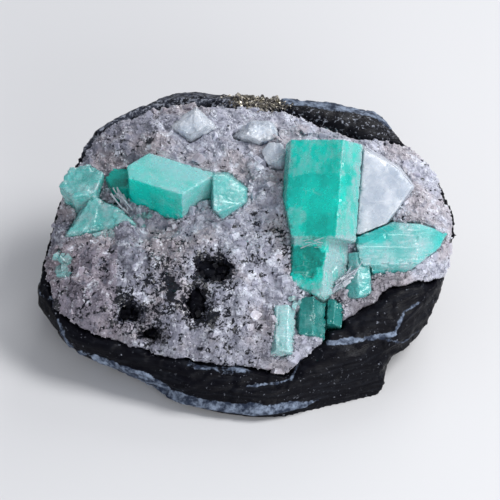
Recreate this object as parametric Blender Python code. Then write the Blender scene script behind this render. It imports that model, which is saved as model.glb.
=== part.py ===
"""Emerald crystals in calcite on black shale, modelled in metres with +Z up.

The rock rests on its cleaved underside and its face leans back. Everything on the face is laid out in
face coordinates, in millimetres from the middle of the rock: across to the right, up, and toward the
viewer, as seen from the front by someone who looks down on the rock by LOOK_DOWN degrees.
"""

import math
import random

import bmesh
import bpy
from mathutils import Matrix, Vector, noise

MM = 0.001
GAP = 0.32                  # clearance between a crystal and its pocket
SLIVER = 0.004              # width under which a sliver left by a cut is closed up
# Copies of the shale that cut clearance under and beside the crust, as (lift, growth).
CRUST_CLEARANCES = [(0.52, 1.0), (0.0, 1.013), (0.3, 1.010)]

LOOK_DOWN = math.radians(38)     # the face is laid out as seen from this far above the front
FACE_LEAN = math.radians(24)     # how far the rim of the rock leans back from square to that view
MIDDLE_HEIGHT = 17.0             # of the middle of the rock above its underside
FACE_RISE = 9.0                  # of the face above the rim
BACK_REACH = 46.0                # of the rock behind the rim, before its walls and underside are cut
CRUST_DEPTH = 5.5                # of the calcite crust
RIM_OVERHANG = 0.9               # of the crust past the shale, where it reaches the rim
CRUST_SPREAD = 1.02              # of the crust past its edge, before it is cut to the shale
RIM_LIP = 0.8                    # least height of the shale above its rim, under the crust

# The rock's own outline and the edge of its crust, as (across, up), clockwise from the left.
ROCK_OUTLINE = [
    (-42.6, -2.5), (-41.4, 1.7), (-39.7, 8.9), (-37.9, 14.3), (-34.8, 20.4), (-32.2, 25.4),
    (-25.0, 29.6), (-22.0, 30.4), (-16.0, 32.3), (-10.0, 32.5), (0.8, 31.2), (8.0, 31.0), (19.4, 29.8),
    (25.4, 28.3), (27.6, 27.0), (28.6, 25.2), (34.6, 20.1), (38.2, 16.1), (40.6, 10.5), (42.8, 4.7),
    (42.2, 0.9), (40.4, -2.5), (39.4, -6.0), (36.8, -11.0), (35.4, -15.0), (32.6, -18.2), (28.6, -20.4),
    (27.2, -22.6), (25.6, -29.4), (21.8, -30.9), (14.0, -32.0), (5.0, -32.4), (-4.0, -31.7),
    (-13.0, -29.5), (-22.0, -25.3), (-31.0, -21.2), (-35.6, -19.4), (-39.8, -14.0), (-42.6, -9.5),
]
CRUST_EDGE = [
    (-42.3, -0.9), (-41.2, 3.0), (-39.4, 9.0), (-37.6, 14.2), (-34.4, 20.0), (-29.6, 25.2),
    (-25.0, 27.2), (-21.0, 28.9), (-14.8, 30.4), (-7.0, 30.0), (0.6, 29.6), (9.0, 27.8), (14.2, 25.2),
    (21.4, 22.9), (28.6, 22.9), (31.6, 22.4), (34.2, 20.0), (37.8, 16.0), (40.2, 10.5), (42.4, 4.6),
    (41.6, 1.0), (40.3, -2.0), (39.6, -5.4), (37.2, -6.7), (32.6, -6.4), (27.8, -7.2), (25.0, -9.8),
    (21.8, -12.0), (17.6, -13.8), (15.4, -15.8), (13.0, -19.2), (10.6, -20.9), (7.8, -24.6),
    (1.2, -23.2), (-4.0, -22.8), (-10.0, -22.2), (-19.0, -20.0), (-23.6, -18.3), (-31.6, -16.9),
    (-38.0, -13.0), (-40.8, -7.3), (-41.8, -3.6),
]
# Swells (+) and hollows (-) of the face, as (across, up, radius, height).
FACE_SWELLS = [
    (-8.0, -10.0, 14.0, 2.6), (-31.0, -6.0, 11.0, 2.0), (-26.0, 23.0, 9.0, 2.4), (36.0, 8.0, 6.5, 2.4),
    (-2.0, 8.0, 8.0, -2.4), (-18.0, 6.0, 8.0, -2.4), (-26.0, 8.6, 5.0, -1.4), (-17.0, 20.0, 8.0, 3.2),
    (19.0, -10.0, 7.0, -1.6),
    (2.0, 22.0, 10.0, 1.2), (-37.0, 14.0, 5.0, 1.4), (6.0, -14.0, 5.0, 1.6), (30.0, 18.0, 7.0, 1.8),
]
# Windows where bare shale shows through the crust, as (across, up, width, height).
SHALE_WINDOWS = [
    (-7.4, -3.8, 8.6, 5.2), (-10.6, -10.2, 4.4, 8.0), (-24.0, -12.2, 4.6, 4.4), (-19.6, -16.0, 3.8, 3.0),
]
WINDOW_RISE = 2.6                # of the shale inside a window, above the shale under the crust

# Flat breaks of the shale, each as (outward normal, distance of the plane from the origin).
BREAKS = [
    ((0.34, -0.93, 0.12), 31.4),
    ((0.80, -0.60, 0.05), 35.4),
    ((0.20, 0.97, 0.10), 37.5),
    ((-0.50, 0.84, 0.20), 40.5),
]
# Beds of the shale from the underside up, as (top of the bed, how far it stands proud).
BEDS = [(2.6, 0.8), (5.4, -0.8), (7.0, 0.3), (9.4, -0.5), (14.0, 0.3), (21.0, -0.3)]
BED_STEP = 0.25                  # height of the slope between one bed and the next

RHOMB_COUNT = 48                 # small calcite rhombs grown on the crust
RHOMB_SEED = 11
RHOMB_SQUASH = 0.10              # makes a cube into calcite's rhomb, 102 degrees across its corner

STONE_COLOURS = {
    "shale": ((0.016, 0.018, 0.024, 1), 0.45, 0.0),
    "crust": ((0.52, 0.48, 0.50, 1), 0.6, 0.0),
    "emerald": ((0.01, 0.46, 0.34, 1), 0.15, 0.0),
    "pale_emerald": ((0.26, 0.62, 0.52, 1), 0.25, 0.0),
    "calcite": ((0.66, 0.70, 0.78, 1), 0.25, 0.0),
    "pyrite": ((0.42, 0.37, 0.24, 1), 0.35, 0.9),
}

TOWARD = Vector((0, 0, 1))


# ---------------------------------------------------------------- face coordinates

VIEW_TURN = Matrix((
    (1, 0, 0),
    (0, math.sin(LOOK_DOWN), -math.cos(LOOK_DOWN)),
    (0, math.cos(LOOK_DOWN), math.sin(LOOK_DOWN)),
))


def to_world(place):
    """The point in metres of a place given in face coordinates."""
    return (VIEW_TURN @ Vector(place) + Vector((0, 0, MIDDLE_HEIGHT))) * MM


def to_face(point):
    """The face coordinates of a point in metres."""
    return VIEW_TURN.transposed() @ (point / MM - Vector((0, 0, MIDDLE_HEIGHT)))


def reach_of(outline, angle):
    """Distance from the middle to an outline in the direction of angle."""
    ray = Vector((math.cos(angle), math.sin(angle)))
    for start, end in zip(outline, outline[1:] + outline[:1]):
        start = Vector(start)
        side = Vector(end) - start
        across_ray = ray.x * side.y - ray.y * side.x
        if abs(across_ray) < 1e-9:
            continue
        distance = (start.x * side.y - start.y * side.x) / across_ray
        share = (start.x * ray.y - start.y * ray.x) / across_ray
        if distance > 0 and -1e-6 <= share <= 1 + 1e-6:
            return distance
    raise ValueError("the outline doesn't go round the middle")


def share_of(outline, across, up):
    """How far out a place lies, from 0 in the middle to 1 on the outline."""
    return math.hypot(across, up) / reach_of(outline, math.atan2(up, across))


def smooth(value):
    """0 below 0, 1 above 1 and an even slope between."""
    value = min(1.0, max(0.0, value))
    return value * value * (3 - 2 * value)


def shale_reach(angle):
    """Distance from the middle to the edge of the shale, which draws in under an overhanging crust."""
    reach = reach_of(ROCK_OUTLINE, angle)
    bare = reach - reach_of(CRUST_EDGE, angle)
    return reach - RIM_OVERHANG * smooth((2.2 - bare) / 1.4)


def rim_toward(up):
    return -up * math.tan(FACE_LEAN)


def face_toward(across, up):
    """Height of the rock's face, crust included, before its grain."""
    share = share_of(ROCK_OUTLINE, across, up)
    toward = rim_toward(up) + FACE_RISE * max(0.0, 1 - share * share) ** 0.45
    for swell_across, swell_up, radius, height in FACE_SWELLS:
        away = math.hypot(across - swell_across, up - swell_up) / radius
        toward += height * math.exp(-away * away * 2) * smooth((1 - share) * 6)
    return toward


def window_at(across, up):
    """1 inside a window of bare shale, 0 on the crust around it."""
    return max(
        smooth(1.6 - 1.2 * math.hypot((across - x) / width, (up - y) / height) * 2)
        for x, y, width, height in SHALE_WINDOWS)


def crust_share(across, up):
    """0 just outside the edge of the crust, 1 where it has its full depth."""
    return smooth((1.04 - share_of(CRUST_EDGE, across, up)) / 0.13)


def shale_toward(across, up):
    """Height of the shale: level with the face outside the crust and sunk below it inside."""
    face = face_toward(across, up)
    sunk = CRUST_DEPTH - WINDOW_RISE * window_at(across, up)
    sunk = max(0.0, min(sunk, face - rim_toward(up) - RIM_LIP))
    return face - sunk * crust_share(across, up)


def broken_grain(point, size):
    """Tilted facets about size across, like the broken grains of a coarse crust, from -1 to 1."""
    _distances, corners = noise.voronoi(point / size)
    tilt = noise.cell_vector(corners[0] * 7.3) - Vector((0.5, 0.5, 0.5))
    level = noise.cell(corners[0] * 3.1) - 0.5
    return 1.4 * tilt.dot(point / size - corners[0]) + level


# ---------------------------------------------------------------- making solids


def new_part(name, bm, stone):
    """Turns a bmesh into a named object with the stone's plain material."""
    bmesh.ops.triangulate(bm, faces=bm.faces[:])
    mesh = bpy.data.meshes.new(name)
    bm.to_mesh(mesh)
    bm.free()
    part = bpy.data.objects.new(name, mesh)
    PARTS.objects.link(part)
    part.data.materials.append(material_of(stone))
    return part


def material_of(stone):
    material = bpy.data.materials.get(stone)
    if material is None:
        colour, roughness, metallic = STONE_COLOURS[stone]
        material = bpy.data.materials.new(stone)
        material.use_nodes = True
        shader = material.node_tree.nodes["Principled BSDF"]
        shader.inputs["Base Color"].default_value = colour
        shader.inputs["Roughness"].default_value = roughness
        shader.inputs["Metallic"].default_value = metallic
        material.diffuse_color = colour
    return material


def cut_by_plane(bm, point, normal):
    """Cuts away what lies beyond a plane and closes the cut with a flat face."""
    cut = bmesh.ops.bisect_plane(
        bm, geom=bm.verts[:] + bm.edges[:] + bm.faces[:], dist=1e-7,
        plane_co=point, plane_no=normal, clear_outer=True,
    )
    edges = [item for item in cut["geom_cut"] if isinstance(item, bmesh.types.BMEdge)]
    if edges:
        bmesh.ops.holes_fill(bm, edges=edges, sides=0)


def apply_modifier(part, modifier):
    """Makes a modifier's result the part's own mesh, so that later steps see it."""
    graph = bpy.context.evaluated_depsgraph_get()
    made = bpy.data.meshes.new_from_object(part.evaluated_get(graph))
    part.modifiers.remove(modifier)
    old = part.data
    part.data = made
    bpy.data.meshes.remove(old)


def apply_boolean(part, cutter, operation):
    modifier = part.modifiers.new(operation.lower(), "BOOLEAN")
    modifier.operation = operation
    modifier.solver = "EXACT"
    modifier.object = cutter
    apply_modifier(part, modifier)


def thin_out(part, share):
    """Keeps about this share of the part's triangles."""
    modifier = part.modifiers.new("thin_out", "DECIMATE")
    modifier.ratio = share
    apply_modifier(part, modifier)


def keep_largest(part):
    """Drops the loose chips that a cut leaves beside the part."""
    bm = bmesh.new()
    bm.from_mesh(part.data)
    bmesh.ops.dissolve_degenerate(bm, dist=SLIVER * MM, edges=bm.edges[:])
    bmesh.ops.triangulate(bm, faces=bm.faces[:])
    waiting = set(bm.faces)
    pieces = []
    while waiting:
        piece = [waiting.pop()]
        for face in piece:
            for edge in face.edges:
                if len(edge.link_faces) != 2:
                    continue
                for other in edge.link_faces:
                    if other in waiting:
                        waiting.remove(other)
                        piece.append(other)
        pieces.append(piece)
    pieces.sort(key=lambda piece: sum(face.calc_area() for face in piece))
    chips = [face for piece in pieces[:-1] for face in piece]
    bmesh.ops.delete(bm, geom=chips, context="FACES")
    bm.to_mesh(part.data)
    bm.free()


def as_cutter(part):
    """Moves an object to the hidden collection of cutters."""
    PARTS.objects.unlink(part)
    CUTTERS.objects.link(part)
    part.hide_render = True
    part.display_type = "WIRE"
    return part


def boxes_meet(part, other):
    """Whether the boxes around two objects overlap."""
    for axis in range(3):
        values = [corner[axis] for corner in part.bound_box]
        others = [corner[axis] for corner in other.bound_box]
        if max(values) < min(others) or max(others) < min(values):
            return False
    return True


# ---------------------------------------------------------------- the rock


def lens(reach_at, front, back):
    """A ball of triangles pressed out to reach_at(angle), with front(across, up) toward the viewer."""
    bm = bmesh.new()
    bmesh.ops.create_icosphere(bm, subdivisions=5, radius=1)
    for vert in bm.verts:
        side, rise, height = vert.co
        angle = math.atan2(rise, side)
        share = math.acos(min(1.0, abs(height))) / (math.pi / 2)
        reach = reach_at(angle) * share
        across = reach * math.cos(angle)
        up = reach * math.sin(angle)
        depth = math.sqrt(1 - share * share)
        toward = front(across, up, depth) if height > 0 else back(across, up, depth)
        vert.co = Vector((across, up, toward))
    return bm


def rock_wall(point):
    """Pulls a point of the back inside the upright walls, which follow the outline in plan."""
    limit = shale_reach(math.atan2(point.y, point.x)) * MM
    distance = math.hypot(point.x, point.y)
    if distance > limit:
        point.x *= limit / distance
        point.y *= limit / distance
    return point


def bed_offset(height, point):
    """How far the beds stand out at a height, fading where the break changes along the wall."""
    offsets = [proud for top, proud in BEDS if height < top]
    proud = offsets[0] if offsets else 0.0
    strength = 0.55 + 0.9 * noise.noise(Vector((point.x, point.y, 0)) / (19 * MM))
    return proud * max(0.0, strength)


def roughen_shale(vert):
    """Beds on the walls and a low roughness all over, away from what the crust covers."""
    face = to_face(vert.co)
    behind = rim_toward(face.y) - 1.0 - face.z
    share = share_of(CRUST_EDGE, face.x, face.y)
    bare = smooth(behind / 5.0) if behind > 0 else smooth((share - 1.08) / 0.1)
    out = Vector((vert.co.x, vert.co.y, 0)).normalized()
    height = vert.co.z / MM
    rough = 0.7 * noise.noise(vert.co / (7 * MM)) + 0.35 * noise.noise(vert.co / (3 * MM))
    vert.co += out * bare * (bed_offset(height, vert.co) + rough) * MM


def build_shale():
    """The black shale, bedded level, with a hollow in its face for the crust."""
    def front(across, up, depth):
        return shale_toward(across, up)

    def back(across, up, depth):
        return rim_toward(up) - BACK_REACH * depth ** 0.6

    bm = lens(shale_reach, front, back)
    for vert in bm.verts:
        vert.co = rock_wall(to_world(vert.co))
    for top, _proud in BEDS:
        for height in (top - BED_STEP / 2, top + BED_STEP / 2):
            bmesh.ops.bisect_plane(
                bm, geom=bm.verts[:] + bm.edges[:] + bm.faces[:], dist=1e-7,
                plane_co=(0, 0, height * MM), plane_no=(0, 0, 1))
    for vert in bm.verts:
        roughen_shale(vert)
    for normal, distance in BREAKS:
        normal = Vector(normal).normalized()
        cut_by_plane(bm, normal * distance * MM, normal)
    shale = new_part("shale_matrix", bm, "shale")
    thin_out(shale, 0.30)
    bm = bmesh.new()
    bm.from_mesh(shale.data)
    cut_by_plane(bm, (0, 0, 0), (0, 0, -1))
    bmesh.ops.triangulate(bm, faces=bm.faces[:])
    bm.to_mesh(shale.data)
    bm.free()
    return shale


def clearance_copy(part, lift, growth):
    """A copy of the rock, grown from its middle and moved toward the viewer, to cut clearance."""
    copy = part.copy()
    copy.data = part.data.copy()
    copy.name = "crust_clearance"
    PARTS.objects.link(copy)
    start = Matrix.Translation(to_world((0, 0, 0)))
    end = Matrix.Translation(to_world((0, 0, lift)))
    copy.data.transform(end @ Matrix.Scale(growth, 4) @ start.inverted())
    return as_cutter(copy)


def build_crust(shale):
    """The coarse calcite crust over the face, hollowed to sit on the shale."""
    def front(across, up, depth):
        point = Vector((across, up, 0))
        grain = 0.75 * broken_grain(point, 4.6) + 0.45 * broken_grain(point + Vector((9, 4, 2)), 2.6)
        edge_drop = 1.5 * (1 - depth) ** 4
        opening = (CRUST_DEPTH - WINDOW_RISE + 1.2) * window_at(across, up)
        return face_toward(across, up) + (grain + 0.4) * crust_share(across, up) - edge_drop - opening

    def back(across, up, depth):
        return face_toward(across, up) - 4.0 - 6.0 * depth

    bm = lens(lambda angle: reach_of(CRUST_EDGE, angle) * CRUST_SPREAD, front, back)
    for vert in bm.verts:
        vert.co = to_world(vert.co)
    crust = new_part("calcite_crust", bm, "crust")
    thin_out(crust, 0.44)
    grow_rhombs(crust)
    for lift, growth in CRUST_CLEARANCES:
        hollow = clearance_copy(shale, lift, growth)
        apply_boolean(crust, hollow, "DIFFERENCE")
    keep_largest(crust)
    return crust


def grow_rhombs(crust):
    """Small calcite rhombs half sunk in the crust and one with it."""
    chance = random.Random(RHOMB_SEED)
    grown = 0
    while grown < RHOMB_COUNT:
        across = chance.uniform(-40, 40)
        up = chance.uniform(-23, 30)
        size = chance.uniform(1.6, 3.4)
        turn = Vector([chance.uniform(0, 2 * math.pi) for _axis in range(3)])
        clear = all(math.hypot(across - x, up - y) > 4 for x, y, _w, _h in SHALE_WINDOWS)
        if share_of(CRUST_EDGE, across, up) > 0.9 or not clear:
            continue
        grown += 1
        bm = bmesh.new()
        bmesh.ops.create_cube(bm, size=size)
        squash = Matrix([[(row == column) - RHOMB_SQUASH for column in range(3)] for row in range(3)])
        spin = Matrix.Rotation(turn.x, 3, "X") @ Matrix.Rotation(turn.y, 3, "Y")
        spin = spin @ Matrix.Rotation(turn.z, 3, "Z")
        for vert in bm.verts:
            vert.co = to_world(spin @ squash @ vert.co + Vector((across, up, face_toward(across, up))))
        rhomb = new_part("rhomb", bm, "crust")
        apply_boolean(crust, rhomb, "UNION")
        bpy.data.objects.remove(rhomb)


# ---------------------------------------------------------------- the crystals


def prism(middle, axis, turn, reaches, top, bottom, cuts=()):
    """Faces of a hexagonal prism, as (point, outward normal) in face coordinates.

    The first side faces the viewer turned by turn degrees to the right, and the others follow every
    sixty degrees. cuts are extra planes, each given from the prism's middle.
    """
    middle = Vector(middle)
    axis = Vector(axis).normalized()
    ahead = (TOWARD - axis * axis.dot(TOWARD)).normalized()
    right = axis.cross(ahead)
    faces = [(middle + axis * top, axis), (middle - axis * bottom, -axis)]
    for side, reach in enumerate(reaches):
        angle = math.radians(turn + side * 60)
        normal = ahead * math.cos(angle) + right * math.sin(angle)
        faces.append((middle + normal * reach, normal))
    for place, normal in cuts:
        faces.append((middle + Vector(place), Vector(normal).normalized()))
    return faces


def block(outline, front, depth, flare, facing=(0, 0, 1), cuts=()):
    """Faces of a flat-faced block, from its outline as (across, up), clockwise as seen from the front."""
    middle = sum((Vector((*corner, front)) for corner in outline), Vector()) / len(outline)
    faces = [(middle, Vector(facing).normalized()), (middle - TOWARD * depth, -TOWARD)]
    for start, end in zip(outline, outline[1:] + outline[:1]):
        side = Vector(end) - Vector(start)
        normal = Vector((-side.y, side.x, side.length * flare)).normalized()
        faces.append((Vector((*start, front)), normal))
    for place, normal in cuts:
        faces.append((Vector(place), Vector(normal).normalized()))
    return faces


def solid_between(name, faces, margin, stone):
    """The solid inside a set of planes, each moved out by margin."""
    bm = bmesh.new()
    bmesh.ops.create_cube(bm, size=70 * MM)
    middle = sum((point for point, _normal in faces), Vector()) / len(faces)
    bmesh.ops.translate(bm, verts=bm.verts[:], vec=to_world(middle))
    for point, normal in faces:
        cut_by_plane(bm, to_world(point + normal * margin), VIEW_TURN @ normal)
    return new_part(name, bm, stone)


def grow_crystal(name, stone, *shapes):
    """A crystal of one or more grown-together shapes, clear of the crystals made before it."""
    crystal = None
    for faces in shapes:
        shape = solid_between(name, faces, 0, stone)
        if crystal is None:
            crystal = shape
        else:
            apply_boolean(crystal, shape, "UNION")
            bpy.data.objects.remove(shape)
    for pocket in POCKETS:
        if boxes_meet(crystal, pocket):
            apply_boolean(crystal, pocket, "DIFFERENCE")
    keep_largest(crystal)
    for faces in shapes:
        POCKETS.append(as_cutter(solid_between(name + "_pocket", faces, GAP, stone)))
    return crystal


def cut_pockets(part):
    for pocket in POCKETS:
        if boxes_meet(part, pocket):
            apply_boolean(part, pocket, "DIFFERENCE")
    keep_largest(part)


def grow_right_emeralds():
    """The tall prism standing up the face and the smaller crystals at its foot."""
    lean = (0.075, 0.98, -0.185)
    grow_crystal(
        "emerald_tall_prism", "emerald",
        prism((14.7, 12.0, 4.6), lean, -20, (6.0, 7.6, 6.2, 6.3, 6.3, 7.9), 9.2, 10.6,
              cuts=[((-7.6, -3.4, 4.0), (-0.98, -0.18, 0.05))]),
        prism((13.4, -1.0, 7.8), lean, -16, (4.8, 4.9, 5.5, 4.6, 4.6, 5.6), 8.0, 9.4,
              cuts=[((4.0, -6.5, 4.0), (0.62, -0.75, 0.2)), ((-4.6, -6.2, 3.0), (-0.46, -0.86, 0.25))]),
    )
    lying = (0.03, 0.93, -0.37)
    grow_crystal(
        "emerald_stub_prism", "pale_emerald",
        prism((21.4, -5.2, 8.4), (-0.06, 0.97, -0.22), 24, (2.7, 2.6, 2.5, 2.7, 2.6, 2.5), 4.6, 4.6,
              cuts=[((1.6, -4.2, 1.6), (0.4, -0.8, 0.45))]),
    )
    grow_crystal(
        "emerald_small_prism_middle", "emerald",
        prism((11.9, -13.4, 12.4), lying, -12, (3.1, 2.6, 2.7, 3.1, 2.6, 2.9), 3.6, 4.4),
    )
    grow_crystal(
        "emerald_small_prism_right", "emerald",
        prism((16.2, -12.6, 10.8), (0.12, 0.93, -0.34), -20, (2.3, 2.2, 2.0, 2.3, 2.1, 2.2), 2.6, 2.6),
    )
    grow_crystal(
        "emerald_small_prism_left", "pale_emerald",
        prism((6.5, -15.4, 15.0), (0.02, 0.92, -0.40), -6, (2.4, 2.2, 2.0, 2.3, 2.1, 2.2), 4.3, 5.4),
    )
    grow_crystal(
        "emerald_striated_block", "pale_emerald",
        block([(20.8, 2.6), (24.8, 4.2), (28.4, 5.6), (34.0, 5.2), (38.8, 3.4), (37.4, 0.8), (31.0, -4.2),
               (23.6, -4.6), (21.6, -1.8)], 9.8, 7.0, 0.06, facing=(0.10, 0.12, 1),
              cuts=[((26.0, 3.1, 9.8), (-0.16, 0.62, 0.76)), ((33.6, 2.4, 9.0), (0.60, 0.05, 0.80)),
                    ((28.0, -3.4, 9.4), (0.10, -0.72, 0.68))]),
    )


def grow_left_emeralds():
    """The stout prism with its end face up, its neighbour and the pale broken mass beside them."""
    standing = (0, 0.629, 0.777)
    grow_crystal(
        "emerald_stout_prism", "emerald",
        prism((-16.5, 15.57, 7.04), standing, -21.6, (4.0, 6.2, 9.0, 3.6, 6.4, 7.7), 0, 9.5),
        prism((-16.5, 15.57, 7.04), standing, -21.6, (2.4, 4.8, 7.4, 3.0, 5.8, 7.0), -3.0, 14.0),
        prism((-26.2, 15.6, 3.4), (-0.1, 0.62, 0.74), -10, (2.6, 2.8, 2.8, 2.6, 2.6, 2.4), -1.4, 8.0),
    )
    grow_crystal(
        "emerald_stout_neighbour", "pale_emerald",
        block([(-7.4, 15.2), (-4.6, 15.2), (-1.0, 12.4), (-1.0, 9.8), (-5.4, 6.6), (-7.4, 8.4)],
              7.8, 7.0, 0.10, facing=(0.32, 0.16, 0.93),
              cuts=[((-2.6, 8.6, 7.0), (0.46, -0.62, 0.63))]),
    )
    grow_crystal(
        "emerald_pale_mass", "pale_emerald",
        prism((-33.6, 12.6, -0.4), (-0.1, 0.7, 0.68), 8, (4.2, 3.9, 4.4, 4.0, 4.2, 4.1), 2.4, 3.6,
              cuts=[((-3.0, 2.6, 2.2), (-0.6, 0.5, 0.6)), ((-3.4, 0, 0), (-0.9, 0, -0.5))]),
        block([(-36.6, 3.0), (-33.8, 7.4), (-31.4, 10.5), (-26.4, 8.6), (-22.6, 5.2), (-24.2, 2.8),
               (-34.4, 2.6)], 5.6, 6.0, 0.12, facing=(-0.12, 0.30, 0.94),
              cuts=[((-30.0, 4.6, 5.6), (0.08, -0.62, 0.78))]),
    )
    grow_crystal(
        "emerald_small_patch", "pale_emerald",
        prism((-37.3, -2.2, 3.6), (0.1, 0.95, 0.0), -30, (1.5, 1.3, 1.2, 1.4, 1.3, 1.3), 2.6, 2.6),
    )


def grow_calcite_crystals():
    """The large clear-faced rhomb and three smaller crystals that stand out of the crust."""
    grow_crystal(
        "calcite_rhomb_large", "calcite",
        block([(21.2, 20.1), (22.6, 20.2), (29.2, 16.4), (32.2, 12.8), (26.6, 4.8), (24.2, 3.2),
               (21.0, 3.4)], 7.6, 9.0, 0.12, facing=(0.05, 0.10, 1)),
    )
    grow_crystal(
        "calcite_crystal_by_prism", "calcite",
        prism((5.4, 18.6, -0.4), (-0.35, 0.55, 0.75), 20, (2.4, 2.2, 2.2, 2.3, 2.1, 2.3), 2.4, 4.0,
              cuts=[((0.4, -1.2, 2.4), (0.3, -0.5, 0.8))]),
    )
    grow_crystal(
        "calcite_crystal_upper_left", "calcite",
        block([(-14.6, 25.0), (-11.0, 27.6), (-8.6, 25.2), (-12.0, 23.0)], -1.4, 4.0, 0.35,
              facing=(-0.2, 0.3, 1)),
    )
    grow_crystal(
        "calcite_crystal_upper_middle", "calcite",
        block([(-1.2, 23.4), (0.6, 25.0), (3.8, 24.6), (4.6, 22.8), (1.8, 21.9)], -1.2, 4.0, 0.4,
              facing=(0.1, 0.45, 1)),
    )


def grow_pyrite():
    """A row of small pyrite crystals along the top rim of the shale."""
    chance = random.Random(5)
    shapes = []
    for step in range(7):
        across = -2.4 + 1.25 * step
        up = 30.7 - 0.10 * step + chance.uniform(-0.4, 0.3)
        toward = rim_toward(up) + 1.1
        reach = chance.uniform(0.75, 1.05)
        axis = Vector([chance.uniform(-1, 1) for _axis in range(3)])
        shapes.append(cube((across, up, toward), axis, reach))
    grow_crystal("pyrite_cluster", "pyrite", *shapes)


def cube(middle, axis, reach):
    """Faces of a cube, reach from its middle to each face, turned to stand along axis."""
    middle = Vector(middle)
    turn = axis.to_track_quat("Z", "Y").to_matrix()
    normals = [turn.col[index] * sign for index in range(3) for sign in (1, -1)]
    return [(middle + normal * reach, normal) for normal in normals]


PARTS = None
CUTTERS = None
POCKETS = []


def start_scene():
    global PARTS, CUTTERS
    for item in list(bpy.data.objects):
        bpy.data.objects.remove(item)
    PARTS = bpy.data.collections.new("emerald_in_matrix")
    CUTTERS = bpy.data.collections.new("cutters")
    for collection in (PARTS, CUTTERS):
        bpy.context.scene.collection.children.link(collection)
    CUTTERS.hide_render = True


def main():
    start_scene()
    shale = build_shale()
    crust = build_crust(shale)
    grow_right_emeralds()
    grow_left_emeralds()
    grow_calcite_crystals()
    grow_pyrite()
    cut_pockets(crust)
    cut_pockets(shale)


main()
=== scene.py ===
"""The looks of emerald crystals in calcite on black shale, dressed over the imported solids.

Places on the face are in millimetres as (across, up, toward), from the middle of the rock, as its
front is seen by someone who looks down on it at the angle LOOK_DOWN. The rest is in metres, +Z up.
"""

import math
import random
from bisect import bisect_left

import bmesh
import bpy
from mathutils import Matrix, Vector, noise
from mathutils.bvhtree import BVHTree
from mathutils.kdtree import KDTree


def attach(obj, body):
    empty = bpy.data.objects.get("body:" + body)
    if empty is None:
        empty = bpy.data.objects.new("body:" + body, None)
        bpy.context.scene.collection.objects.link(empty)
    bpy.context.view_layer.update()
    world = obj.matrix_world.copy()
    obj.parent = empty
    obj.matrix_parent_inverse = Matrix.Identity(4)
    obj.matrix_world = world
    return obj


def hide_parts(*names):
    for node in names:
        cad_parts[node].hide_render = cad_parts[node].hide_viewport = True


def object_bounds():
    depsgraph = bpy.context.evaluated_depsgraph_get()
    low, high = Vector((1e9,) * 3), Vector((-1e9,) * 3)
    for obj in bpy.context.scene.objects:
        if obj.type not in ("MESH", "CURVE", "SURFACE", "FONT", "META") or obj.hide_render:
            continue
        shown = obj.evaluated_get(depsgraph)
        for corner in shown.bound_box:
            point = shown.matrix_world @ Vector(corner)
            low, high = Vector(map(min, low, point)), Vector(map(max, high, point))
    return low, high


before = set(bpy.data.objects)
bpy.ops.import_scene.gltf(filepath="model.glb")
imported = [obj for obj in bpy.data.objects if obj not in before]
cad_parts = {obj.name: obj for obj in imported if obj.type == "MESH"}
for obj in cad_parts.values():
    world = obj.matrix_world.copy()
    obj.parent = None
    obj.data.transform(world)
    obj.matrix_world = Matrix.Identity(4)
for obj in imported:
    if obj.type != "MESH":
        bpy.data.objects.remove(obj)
cad_low, cad_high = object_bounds()
noise.seed_set(1)                # or noise_vector changes from run to run

MM = 0.001
LOOK_DOWN = math.radians(38)
MIDDLE_HEIGHT = 17.0             # of the middle of the rock above its underside
MERGE = 1e-6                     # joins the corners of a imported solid's loose triangles

VIEW_TURN = Matrix((
    (1, 0, 0),
    (0, math.sin(LOOK_DOWN), -math.cos(LOOK_DOWN)),
    (0, math.cos(LOOK_DOWN), math.sin(LOOK_DOWN)),
))
MIDDLE = Vector((0, 0, MIDDLE_HEIGHT)) * MM
UP_THE_FACE = VIEW_TURN @ Vector((0, 1, 0))
TOWARD = VIEW_TURN @ Vector((0, 0, 1))
ACROSS = Vector((1, 0, 0))
UPRIGHT = Vector((0, 0, 1))


def to_world(place):
    """The point in metres of a place on the face."""
    return VIEW_TURN @ (Vector(place) * MM) + MIDDLE


def to_face(point):
    """The place on the face of a point in metres."""
    return VIEW_TURN.transposed() @ ((point - MIDDLE) / MM)


def face_axis(*place):
    """A direction in the world of one given on the face."""
    return (VIEW_TURN @ Vector(place)).normalized()


def out_from(face, across, up, width, height):
    """How far out in an ellipse a place on the face lies: 0 in its middle, 0.5 on its edge."""
    return math.hypot((face.x - across) / width, (face.y - up) / height)


def any_direction(chance):
    return Vector([chance.uniform(-1, 1) for _axis in range(3)])


def smooth(value):
    """0 below 0, 1 above 1 and an even slope between."""
    value = min(1.0, max(0.0, value))
    return value * value * (3 - 2 * value)


# ---------------------------------------------------------------- materials


class Wire:
    """A value in a material. Each operator used on it adds a Math node."""

    def __init__(self, finish, socket):
        self.finish = finish
        self.socket = socket

    def maths(self, operation, *values):
        node = self.finish.add("ShaderNodeMath", {"operation": operation}, dict(enumerate(values)))
        return Wire(self.finish, node.outputs[0])

    def __add__(self, other):
        return self.maths("ADD", self, other)

    def __radd__(self, other):
        return self.maths("ADD", other, self)

    def __sub__(self, other):
        return self.maths("SUBTRACT", self, other)

    def __rsub__(self, other):
        return self.maths("SUBTRACT", other, self)

    def __mul__(self, other):
        return self.maths("MULTIPLY", self, other)

    def __rmul__(self, other):
        return self.maths("MULTIPLY", other, self)

    def held(self):
        """The value kept between 0 and 1."""
        return self.rise(0, 1, "LINEAR")

    def rise(self, low, high, slope="SMOOTHSTEP"):
        """0 at low and 1 at high."""
        node = self.finish.add(
            "ShaderNodeMapRange", {"interpolation_type": slope},
            {"Value": self, "From Min": low, "From Max": high})
        return Wire(self.finish, node.outputs["Result"])


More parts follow.
